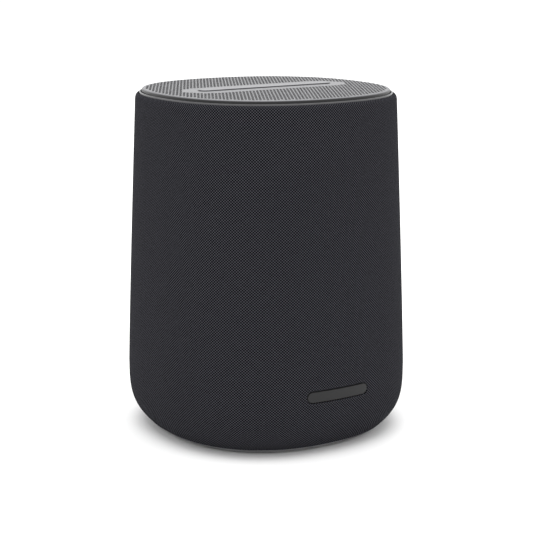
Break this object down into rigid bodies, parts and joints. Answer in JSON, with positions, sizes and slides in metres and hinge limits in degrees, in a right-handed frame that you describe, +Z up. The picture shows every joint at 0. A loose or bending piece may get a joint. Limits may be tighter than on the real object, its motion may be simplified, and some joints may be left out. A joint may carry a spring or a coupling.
{
  "type": "smart home hub speaker",
  "caption": "Fabric-wrapped tapered smart speaker hub with a perforated metal top, a control bar, two drivers and a rear connector bay.",
  "frame": {"origin": "centre of the foot pad's underside, on the surface the speaker stands on", "axes": "+Z up, front with the badge faces -Y, the control bar runs along X"},
  "size_m": [0.1402, 0.1402, 0.1778],
  "materials": {
    "cloth": "charcoal plain-weave melange cloth",
    "black_plastic": "fine moulded texture",
    "grey_plastic": "moulded",
    "trim_plastic": "satin dark grey",
    "gloss_plastic": "gloss black",
    "plate_metal": "satin silver grey, perforated",
    "bar_metal": "satin silver grey",
    "badge_plastic": "satin dark grey, blank",
    "foot_rubber": "matt",
    "seal_rubber": "closed-cell foam rubber",
    "surround_rubber": "smooth",
    "mesh_cloth": "black acoustic mesh",
    "wadding": "loose polyester wadding",
    "spider_cloth": "varnished cloth",
    "dome_silk": "coated silk",
    "cone_plastic": "woven-look polypropylene",
    "copper": "enamelled copper wire on a former",
    "steel": "bright zinc plate",
    "black_steel": "black powder coat",
    "ferrite": "matt ferrite",
    "heat_sink_metal": "extruded",
    "circuit_board": "green solder mask",
    "capacitor_sleeve": "shrink sleeve",
    "button_plastic": "satin",
    "mute_plastic": "satin orange",
    "wire": "pvc insulation",
    "ribbon": "flat flexible cable"
  },
  "bodies": {
    "cabinet": {"fabric_sleeve": "cloth", "grille_frame": "black_plastic", "enclosure_shell": "grey_plastic", "enclosure_lid": "grey_plastic", "enclosure_gasket": "seal_rubber", "acoustic_wadding": "wadding", "bass_port": "black_plastic", "base_trim_ring": "trim_plastic", "foot_pad": "foot_rubber", "base_plate": "black_plastic", "base_screw_1": "steel", "base_screw_2": "steel", "base_screw_3": "steel", "top_plate": "plate_metal", "acoustic_mesh": "mesh_cloth", "top_trim_ring": "gloss_plastic", "top_carrier": "black_plastic", "control_board": "circuit_board", "bar_switch_left": "black_plastic", "bar_switch_right": "black_plastic", "badge": "badge_plastic", "woofer_gasket": "seal_rubber", "woofer_basket": "black_steel", "woofer_front_plate": "steel", "woofer_magnet": "ferrite", "woofer_yoke": "steel", "woofer_surround": "surround_rubber", "woofer_spider": "spider_cloth", "woofer_screw_1": "steel", "woofer_screw_2": "steel", "woofer_screw_3": "steel", "woofer_screw_4": "steel", "tweeter_faceplate": "black_plastic", "tweeter_motor": "steel", "connector_panel": "gloss_plastic", "power_inlet": "black_plastic", "inlet_pin_left": "steel", "inlet_pin_right": "steel", "panel_board": "circuit_board", "service_port": "steel", "pairing_switch": "black_plastic", "mute_switch": "steel", "power_board": "circuit_board", "power_transformer": "ferrite", "power_capacitor": "capacitor_sleeve", "main_board": "circuit_board", "processor_shield": "steel", "amplifier_heat_sink": "heat_sink_metal", "wireless_antenna": "circuit_board", "mains_lead": "wire", "woofer_lead": "wire", "tweeter_lead": "wire", "ribbon_cable": "ribbon"},
    "woofer_mover": {"woofer_cone": "cone_plastic", "woofer_dust_cap": "cone_plastic", "woofer_voice_coil": "copper"},
    "tweeter_mover": {"tweeter_dome": "dome_silk"},
    "bar": {"control_bar": "bar_metal"},
    "pairing_key": {"pairing_button": "button_plastic"},
    "mute_key": {"mute_slider": "mute_plastic"}
  },
  "joints": [
    {"name": "woofer_travel", "type": "slide", "parent": "cabinet", "child": "woofer_mover", "axis": [0, -1, 0], "range_m": [-0.003, 0.003], "stiffness_N_per_m": 900, "deforming": ["woofer_surround", "woofer_spider"]},
    {"name": "tweeter_travel", "type": "slide", "parent": "cabinet", "child": "tweeter_mover", "axis": [0, -1, 0], "range_m": [-0.0003, 0.0003], "stiffness_N_per_m": 2000},
    {"name": "bar_press", "type": "slide", "parent": "cabinet", "child": "bar", "axis": [0, 0, -1], "range_m": [0, 0.0005], "stiffness_N_per_m": 800, "springref_m": -0.001},
    {"name": "pairing_press", "type": "slide", "parent": "cabinet", "child": "pairing_key", "axis": [0, -1, 0], "range_m": [0, 0.0008], "stiffness_N_per_m": 600, "springref_m": -0.001},
    {"name": "mute_slide", "type": "slide", "parent": "cabinet", "child": "mute_key", "axis": [1, 0, 0], "range_m": [0, 0.0025]}
  ]
}
